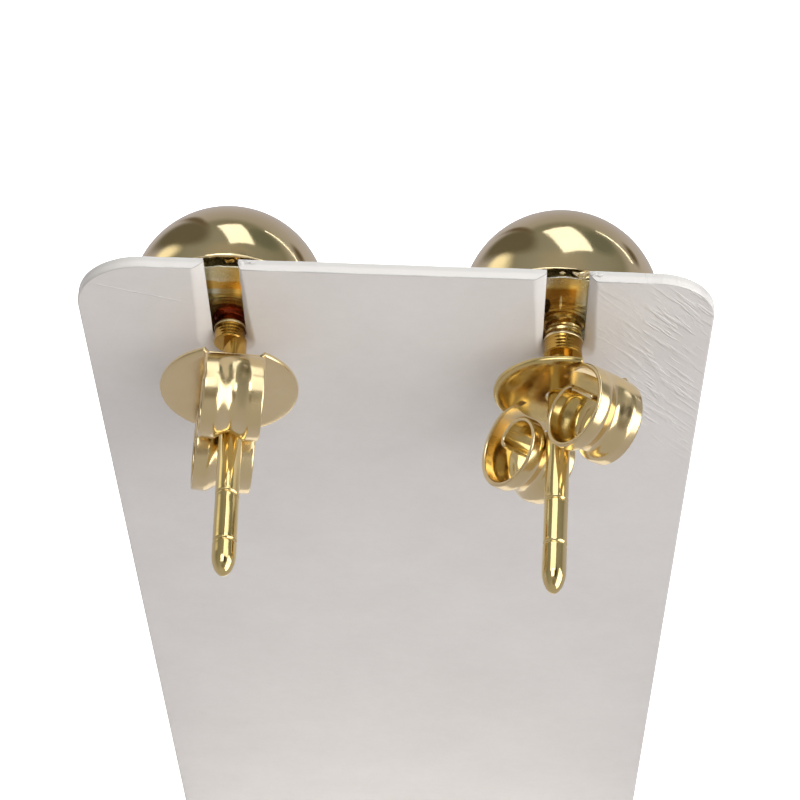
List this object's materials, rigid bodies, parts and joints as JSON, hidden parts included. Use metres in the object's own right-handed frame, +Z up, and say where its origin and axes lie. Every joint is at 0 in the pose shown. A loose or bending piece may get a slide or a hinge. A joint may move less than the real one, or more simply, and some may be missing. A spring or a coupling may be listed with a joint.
{
  "type": "pair of dome stud earrings with friction clutches on a bent display stand",
  "caption": "Gold dome stud earrings with rolled friction clutches on their posts, hung in the open slots of a plain white bent sheet stand.",
  "frame": {"origin": "centre of the box round the whole object, at the foot's underside", "axes": "+Z up, +Y out of the back of the leaning card, the way the posts point, +X to the right as seen from the domes' side"},
  "size_m": [0.025, 0.0252, 0.054],
  "materials": {
    "stand": "satin white",
    "stud": "polished yellow gold",
    "clutch": "polished pale yellow gold"
  },
  "bodies": {
    "stand": {"display_stand": "stand", "left_stud": "stud", "right_stud": "stud"},
    "left_clutch_body": {"left_clutch": "clutch"},
    "right_clutch_body": {"right_clutch": "clutch"}
  },
  "joints": [
    {"name": "left_clutch_slide", "type": "slide", "parent": "stand", "child": "left_clutch_body", "axis": [-0.047, 0.9968, -0.0643], "range_m": [-0.002, 0.0094]},
    {"name": "right_clutch_slide", "type": "slide", "parent": "stand", "child": "right_clutch_body", "axis": [0.0113, 0.9881, -0.1535], "range_m": [-0.0015, 0.0094]}
  ]
}
